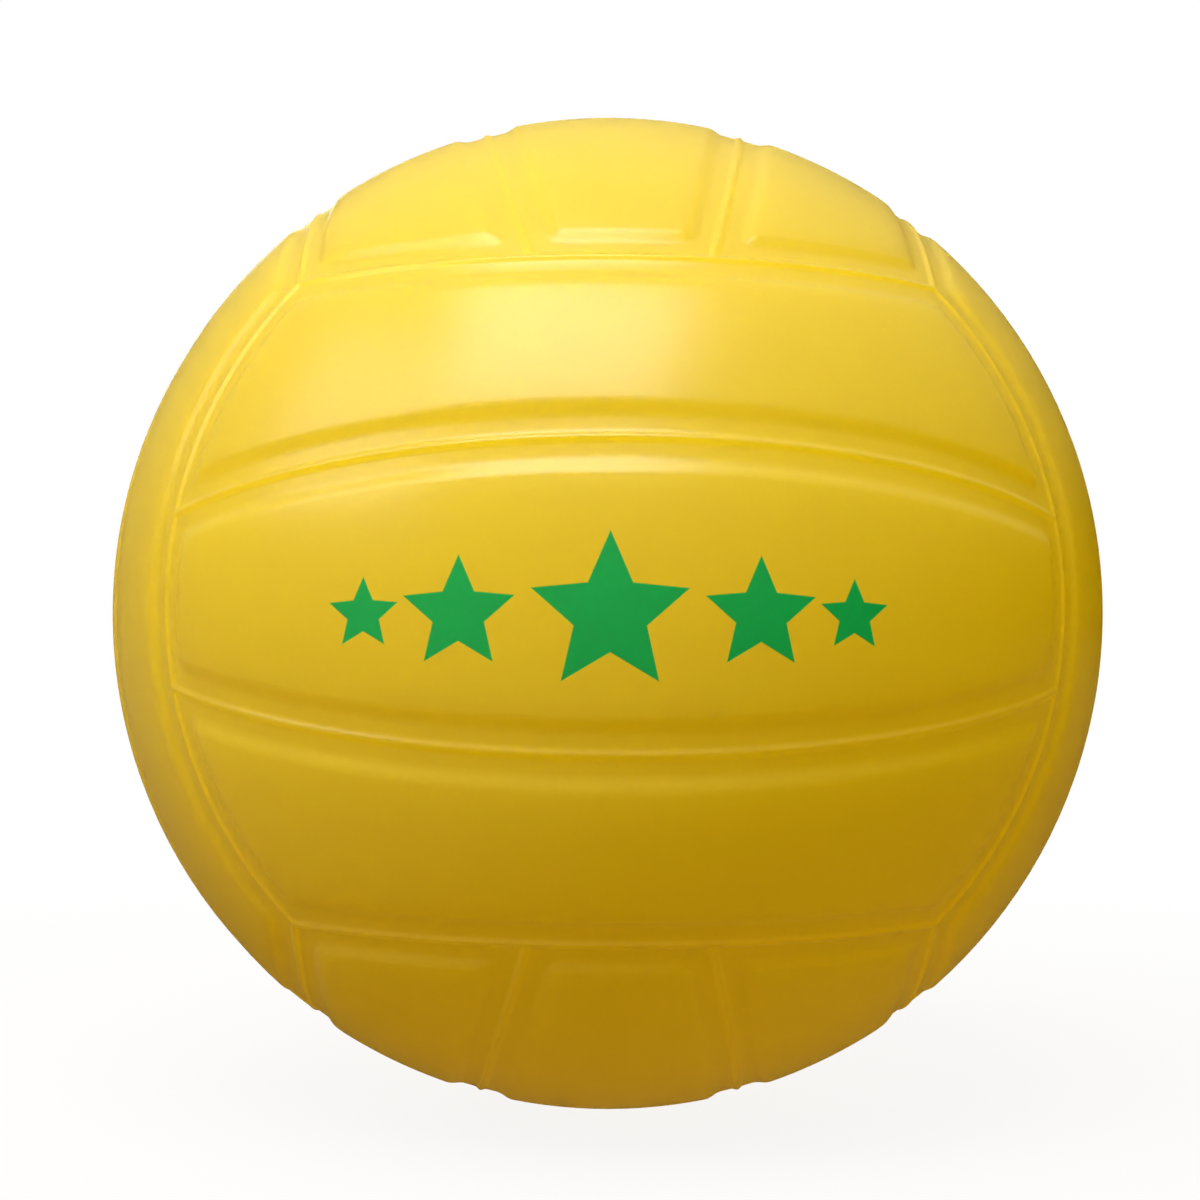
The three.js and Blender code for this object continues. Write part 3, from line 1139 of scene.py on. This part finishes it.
@dataclass
class ValveInsert:
    """Soft vinyl bush of the valve: rim, neck, inner flange and barrel with the air bore.

    Attributes:
        valve: Sizes shared with the skin and plug.
        finish: Its vinyl.
        edge: Rounding of its edges.
        notch_half_width: Half the width of the nail notch beside the plug's head, on +X.
        notch_reach: How far the notch runs into the rim.
        notch_depth: How deep it is.
        notch_fade: Width over which its sides rise.
        sides: Steps around.
        face_steps: Steps across the rim's face.
    """

    valve: ValveSizes
    finish: Vinyl
    edge: float = 0.3 * MM
    notch_half_width: float = 1.6 * MM
    notch_reach: float = 1.6 * MM
    notch_depth: float = 1.0 * MM
    notch_fade: float = 0.5 * MM
    sides: int = 144
    face_steps: int = 12

    def profile(self) -> Array:
        """Closed outline of the bush, from inside the bore out, up to the rim and back down the bore.

        Returns:
            Points of the outline, radius and height.
        """
        valve = self.valve
        edge = self.edge
        small = edge / 2.0
        halfway = valve.recess_floor - valve.shank_length / 2.0
        return rounded_profile(np.array([
            (valve.bore, halfway, 0.0),
            (valve.bore, valve.barrel_end, small),
            (valve.barrel, valve.barrel_end, edge),
            (valve.barrel, valve.flange_end, edge),
            (valve.flange, valve.flange_end, edge),
            (valve.flange, valve.seat_face, small),
            (valve.neck, valve.seat_face, 0.0),
            (valve.neck, valve.rim_underside, 0.0),
            (valve.rim, valve.rim_underside, small),
            (valve.rim, valve.rim_face, edge),
            (valve.recess, valve.rim_face, small),
            (valve.recess, valve.recess_floor, small),
            (valve.bore, valve.recess_floor, small),
            (valve.bore, halfway, 0.0),
        ]))

    def with_rim_rows(self, profile: Array) -> Array:
        """Adds even rows over the rim's face, which the notch needs.

        Args:
            profile: Outline of the bush.

        Returns:
            The outline with these rows.
        """
        level = np.isclose(profile[:, 1], self.valve.rim_face, atol=WELD_DISTANCE)
        first, last = np.flatnonzero(level)[[0, -1]]
        shares = np.linspace(0.0, 1.0, self.face_steps + 1)[:, None]
        face = lerp(profile[first], profile[last], shares)
        return np.concatenate([profile[:first], face, profile[last + 1:]])

    def notched(self, points: Array) -> Array:
        """Presses the nail notch into the rim.

        Near +X the face and the recess wall go down towards the recess floor, by a share that fades out
        across the notch and along it.

        Args:
            points: Grid of the plain bush.

        Returns:
            The same grid with the notch.
        """
        valve = self.valve
        x, y, z = points[..., 0], points[..., 1], points[..., 2]
        across = 1.0 - smootherstep(np.abs(z), self.notch_half_width - self.notch_fade, self.notch_half_width)
        far = valve.recess + self.notch_reach
        along = (1.0 - smootherstep(x, far - self.notch_fade, far)) * (x > 0.0)
        rise = np.clip(y - valve.recess_floor, 0.0, None) * (np.hypot(x, z) > valve.recess - WELD_DISTANCE)
        share = self.notch_depth / (valve.rim_face - valve.recess_floor)
        return np.stack([x, y - rise * across * along * share, z], axis=-1)

    def build(self) -> bpy.types.Object:
        """Makes the insert and dresses it.

        Returns:
            The finished piece.
        """
        points = self.notched(revolve(self.with_rim_rows(self.profile()), full_turn(self.sides)))
        piece = assemble("valve_bush", [turned_patch(points)])
        dress(piece, self.finish.material(), Body.BALL, Node.INSERT)
        return piece


@dataclass
class ValvePlug:
    """Push-in stopper: a flat round head with a dished top, and a shank with sealing ribs.

    Attributes:
        valve: Sizes shared with the skin and insert.
        finish: Its plastic.
        shank: Radius of the shank.
        rib: Radius of the sealing ribs.
        rib_width: Width of a rib at its foot.
        ribs: How many ribs there are.
        tip_length, tip_taper: Tapered end of the shank.
        head_edge: Rounding of the head's upper edge.
        dish, dish_depth: Radius and depth of the dished top.
        rib_steps, dish_steps, head_steps: Steps over a rib, from the dish's edge in and over the head's arcs.
        sides: Steps around.
    """

    valve: ValveSizes
    finish: Vinyl
    shank: float = 1.9 * MM
    rib: float = 2.12 * MM
    rib_width: float = 1.0 * MM
    ribs: int = 3
    tip_length: float = 1.4 * MM
    tip_taper: float = 0.7 * MM
    head_edge: float = 0.4 * MM
    dish: float = 3.2 * MM
    dish_depth: float = 0.25 * MM
    rib_steps: int = 8
    dish_steps: int = 12
    head_steps: int = 5
    sides: int = 96

    def shank_profile(self, bottom: float, top: float) -> Array:
        """Side of the shank: straight, with ribs whose outline is half a cosine wave.

        Args:
            bottom, top: Heights of its ends.

        Returns:
            Points of the outline, radius and height.
        """
        pitch = (top - bottom) / (self.ribs + 1)
        middles = bottom + pitch * np.arange(1, self.ribs + 1)
        shares = np.linspace(-0.5, 0.5, self.rib_steps + 1)
        heights = (middles[:, None] + shares * self.rib_width).ravel()
        swell = np.tile((1.0 + np.cos(FULL_TURN * shares)) / 2.0, self.ribs)
        return np.stack([self.shank + (self.rib - self.shank) * swell, heights], axis=-1)

    def dish_profile(self, top: float) -> Array:
        """Dished middle of the head's top: half a cosine wave from its edge down to its middle.

        Args:
            top: Height of the edge.

        Returns:
            Points of the outline, radius and height.
        """
        shares = np.linspace(0.0, 1.0, self.dish_steps + 1)
        depth = self.dish_depth * (1.0 - np.cos(math.pi * shares)) / 2.0
        return np.stack([self.dish * (1.0 - shares), top - depth], axis=-1)

    def profile(self) -> Array:
        """Outline of the plug from the tip's middle up the shank and over the head.

        Returns:
            Points of the outline, radius and height.
        """
        valve = self.valve
        top = valve.rim_face - valve.head_sink
        straight = valve.plug_tip + self.tip_length
        small = self.head_edge / 2.0
        tip = np.array([
            (0.0, valve.plug_tip, 0.0),
            (self.shank - self.tip_taper, valve.plug_tip, small),
            (self.shank, straight, small),
            (self.shank, straight + self.tip_length, 0.0),
        ])
        head = np.array([
            (self.shank, valve.recess_floor - self.tip_length, 0.0),
            (self.shank, valve.recess_floor, 0.0),
            (valve.head, valve.recess_floor, small),
            (valve.head, top, self.head_edge),
            (self.dish + self.head_edge, top, 0.0),
        ])
        return np.concatenate([
            rounded_profile(tip)[:-1],
            self.shank_profile(straight, valve.recess_floor),
            rounded_profile(head, self.head_steps)[1:],
            self.dish_profile(top),
        ])

    def build(self) -> bpy.types.Object:
        """Makes the plug and dresses it.

        Returns:
            The finished piece.
        """
        points = revolve(self.profile(), full_turn(self.sides))
        piece = assemble("valve_stopper", [turned_patch(points)])
        dress(piece, self.finish.material(), Body.PLUG, Node.PLUG)
        return piece


@dataclass(frozen=True)
class Lamp:
    """Soft white lamp that faces the ball's centre.

    Attributes:
        name: Its name.
        azimuth: Where it stands around the ball, 0 in front and 90 at the right, in degrees.
        elevation: How high it stands, in degrees.
        distance: From the ball's centre.
        width, height: Its sides.
        watts: Its power.
    """

    name: str
    azimuth: float
    elevation: float
    distance: float
    width: float
    height: float
    watts: float

    def build(self) -> bpy.types.Object:
        """Places the lamp, unseen by the camera.

        Returns:
            The lamp.
        """
        turn, rise = math.radians(self.azimuth), math.radians(self.elevation)
        away = Vector((math.sin(turn) * math.cos(rise), -math.cos(turn) * math.cos(rise), math.sin(rise)))
        light = bpy.data.lights.new(self.name, "AREA")
        light.energy = self.watts
        light.shape = "RECTANGLE"
        light.size = self.width
        light.size_y = self.height
        lamp = bpy.data.objects.new(self.name, light)
        lamp.location = away * self.distance
        lamp.rotation_euler = away.to_track_quat("Z", "Y").to_euler()
        lamp.visible_camera = False
        bpy.context.scene.collection.objects.link(lamp)
        return lamp


@dataclass(frozen=True)
class Viewpoint:
    """Camera of the photograph.

    Attributes:
        radius: The ball's radius.
        image_side: Side of the square picture in pixels.
        ball_middle: The ball's centre in the picture, in pixels.
        ball_reach: The ball's radius in the picture, in pixels.
        away: Distance of the lens from the ball's centre, in ball radii.
        yaw, pitch, roll: How the ball is turned before the lens: right, up and round.
        sensor: Width of the camera's sensor in millimetres.
    """

    radius: float
    image_side: float = 1200.0
    ball_middle: tuple[float, float] = (607.67, 612.68)
    ball_reach: float = 495.63
    away: float = 4.24
    yaw: float = math.radians(1.67)
    pitch: float = math.radians(-1.67)
    roll: float = math.radians(0.22)
    sensor: float = 36.0

    def build(self) -> bpy.types.Object:
        """Places the camera, aimed so that the ball lies where the picture has it.

        Returns:
            The camera.
        """
        turned = (
            Matrix.Rotation(self.roll, 3, "Y")
            @ Matrix.Rotation(self.pitch, 3, "X")
            @ Matrix.Rotation(self.yaw, 3, "Z")
        )
        right, ahead, up = turned.row
        focal = self.ball_reach * math.sqrt(self.away**2 - 1.0)
        distance = self.away * self.radius
        aside = (self.image_side / 2.0 - self.ball_middle[0]) / focal
        above = (self.ball_middle[1] - self.image_side / 2.0) / focal
        aim = (ahead + right * aside + up * above).normalized()
        level = aim.cross(up).normalized()
        axes = Matrix((level, level.cross(aim), -aim)).transposed()
        data = bpy.data.cameras.new("camera")
        data.sensor_width = self.sensor
        data.lens = self.sensor * focal / self.image_side
        camera = bpy.data.objects.new("camera", data)
        camera.matrix_world = Matrix.Translation(-ahead * distance) @ axes.to_4x4()
        bpy.context.scene.collection.objects.link(camera)
        bpy.context.scene.camera = camera
        return camera


@dataclass
class Studio:
    """Pale floor, white surroundings, soft lamps and the camera.

    Attributes:
        radius: The ball's radius, which is the floor's depth below its centre.
        lamps: The lamps.
        floor_reach, floor_sides: Radius of the floor and steps around it.
        floor_colour: Its colour.
        floor_mirror: How much of its whiteness glossy and clear pieces show.
        near_white: How white the camera sees the floor beside the ball, where its shadow falls.
        white_from, white_to: Distances over which that grows to full white.
        room_light: Level of the light from all around.
        room_drop: How much weaker it is straight from above, and stronger from below.
        room_back, room_right: How much stronger it is from behind and from the right.
        low_tint, high_tint: Its colour straight from below and straight from above.
        mirror_level: White that glossy and clear pieces show of the surroundings.
        mirror_front, mirror_above, mirror_top, mirror_left: What it gains in front, with height, once more
            towards the top, and to the left.
    """

    radius: float
    lamps: tuple[Lamp, ...]
    floor_reach: float = 4.0
    floor_sides: int = 64
    floor_colour: Colour = (0.8, 0.8, 0.8, 1.0)
    floor_mirror: float = 0.05
    near_white: float = 0.88
    white_from: float = 0.08
    white_to: float = 0.55
    room_light: float = 0.665
    room_drop: float = 0.015
    room_back: float = 0.22
    room_right: float = 0.075
    low_tint: Colour = (1.0, 0.645, 0.32, 1.0)
    high_tint: Colour = (0.84, 0.81, 0.63, 1.0)
    mirror_level: float = 0.17
    mirror_front: float = 0.15
    mirror_above: float = 0.3
    mirror_top: float = 0.7
    mirror_left: float = 0.18

    def seen(self, graph: ShaderGraph, mirrored: Value) -> Shade:
        """One for rays from the camera, and the mirrored value for glossy and transmitted rays.

        Args:
            graph: Node tree that it goes into.
            mirrored: The value for those rays.

        Returns:
            The result as a value.
        """
        path = graph.node("ShaderNodeLightPath", {}, {})
        through = graph.shade(path, "Is Glossy Ray") + graph.shade(path, "Is Transmission Ray")
        return graph.math("ADD", graph.shade(path, "Is Camera Ray"), through * mirrored, clamp=True)

    def build_floor(self) -> bpy.types.Object:
        """Makes the floor, a wide disc under the ball, which keeps the ball's shadow.

        Returns:
            The floor.
        """
        radii = np.array([0.0, self.floor_reach])[:, None]
        turns = full_turn(self.floor_sides)
        flat = [radii * np.cos(turns), radii * np.sin(turns), -self.radius + 0.0 * radii * turns]
        points = np.stack(flat, axis=-1)
        floor = assemble("floor", [Patch(points, points[..., :2], np.zeros(points.shape[:2]))])
        floor.data.materials.append(self.floor_material())
        return floor

    def floor_material(self) -> bpy.types.Material:
        """Matt pale floor, white away from the ball, that is clear from below and to the room's light.

        Returns:
            The new material.
        """
        material = bpy.data.materials.new("pale_floor")
        graph = ShaderGraph(material)
        x, y, _ = graph.axes(graph.place())
        away = graph.math("SQRT", x * x + y * y)
        fade = {1: self.white_from, 2: self.white_to, 3: self.near_white, 4: 1.0}
        smooth = {"interpolation_type": "SMOOTHERSTEP"}
        white = graph.shade(graph.node("ShaderNodeMapRange", smooth, {0: away, **fade}))
        matt = graph.shade(graph.node("ShaderNodeBsdfDiffuse", {}, {"Color": self.floor_colour}))
        glow = graph.shade(graph.node("ShaderNodeEmission", {}, {"Color": WHITE, "Strength": 1.0}))
        pale = graph.shade(graph.node("ShaderNodeMixShader", {}, {0: white, 1: matt, 2: glow}))
        clear = graph.shade(graph.node("ShaderNodeBsdfTransparent", {}, {}))
        topside = 1.0 - graph.shade(graph.node("ShaderNodeNewGeometry", {}, {}), "Backfacing")
        seen = self.seen(graph, self.floor_mirror) * topside
        graph.surface(graph.shade(graph.node("ShaderNodeMixShader", {}, {0: seen, 1: clear, 2: pale})))
        return material

    def build_world(self) -> None:
        """Makes the surroundings: white to the camera, a soft gradient in reflections, a plain room as light.

        The gradient is a level plus shares of the direction's reach to the front, of its height, of the
        square of a height above the horizon and of its reach to the left. The room's light is warm, less so
        with height. It grows evenly to the back and the right and falls evenly with height.
        """
        world = bpy.data.worlds.new("studio")
        world.cycles.sampling_method = "NONE"
        bpy.context.scene.world = world
        graph = ShaderGraph(world)
        x, y, z = graph.axes(graph.shade(graph.node("ShaderNodeTexCoord", {}, {}), "Generated"))
        high = graph.math("MAXIMUM", z, 0.0)
        rise = self.mirror_level + z * self.mirror_above + high * high * self.mirror_top
        mirrored = graph.math("SUBTRACT", rise, x * self.mirror_left + y * self.mirror_front, clamp=True)
        to_camera = graph.shade(graph.node("ShaderNodeLightPath", {}, {}), "Is Camera Ray")
        strength = graph.math("MAXIMUM", to_camera, mirrored)
        height = graph.math("MULTIPLY_ADD", z, 0.5, 0.5, clamp=True)
        tint = graph.mix_colour(height, self.low_tint, self.high_tint)
        light = self.room_light + x * self.room_right + y * self.room_back - z * self.room_drop
        room = graph.node("ShaderNodeBackground", {}, {"Color": tint, "Strength": light})
        clear = graph.node("ShaderNodeBackground", {}, {"Color": WHITE, "Strength": strength})
        sockets = {0: self.seen(graph, 1.0), 1: graph.shade(room), 2: graph.shade(clear)}
        graph.surface(graph.shade(graph.node("ShaderNodeMixShader", {}, sockets)))

    def build(self) -> None:
        """Sets up the whole studio."""
        bpy.context.scene.view_settings.view_transform = "Standard"
        self.build_floor()
        self.build_world()
        for lamp in self.lamps:
            lamp.build()
        Viewpoint(self.radius).build()


YELLOW_VINYL = Vinyl(
    name="yellow_vinyl",
    colour=srgb(231, 202, 8),
    cloud_and_shade_colour=srgb(226, 194, 5),
    roughness=0.31,
    motif=StarRow(),
)
VALVE_VINYL = Vinyl(
    name="valve_vinyl",
    colour=srgb(214, 177, 26),
    cloud_and_shade_colour=srgb(203, 163, 20),
    roughness=0.52,
    spread=4.0 * MM,
    cloud_grain=6.0 * MM,
    skin_grain=0.5 * MM,
    wave_grain=4.0 * MM,
    wave_height=0.015 * MM,
)
WHITE_PLUG = Vinyl(
    name="white_plug",
    colour=srgb(233, 231, 224),
    cloud_and_shade_colour=srgb(222, 219, 208),
    roughness=0.4,
    spread=3.0 * MM,
    cloud_grain=4.0 * MM,
    skin_grain=0.4 * MM,
    skin_height=0.004 * MM,
    wave_grain=3.0 * MM,
    wave_height=0.01 * MM,
)
LAMPS = (
    Lamp("key", azimuth=-16.0, elevation=57.5, distance=1.2, width=0.88, height=0.75, watts=10.5),
    Lamp("left_fill", azimuth=-65.0, elevation=34.0, distance=1.35, width=0.9, height=0.75, watts=4.7),
    Lamp("back_fill", azimuth=184.0, elevation=8.0, distance=1.4, width=0.7, height=0.7, watts=4.6),
)


def main() -> None:
    """Builds the ball's pieces in order, then the studio around them."""
    logging.basicConfig(level=logging.INFO, format="%(name)s: %(message)s")
    skin_low, skin_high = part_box(Node.SKIN.value)
    radius = (skin_high.x - skin_low.x) / 2.0
    valve = ValveSizes(rim_face=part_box(Node.INSERT.value)[1].y)
    BallSkin(radius, valve, YELLOW_VINYL).build()
    ValveInsert(valve, VALVE_VINYL).build()
    ValvePlug(valve, WHITE_PLUG).build()
    Studio(radius, LAMPS).build()


if __name__ == "__main__":
    main()
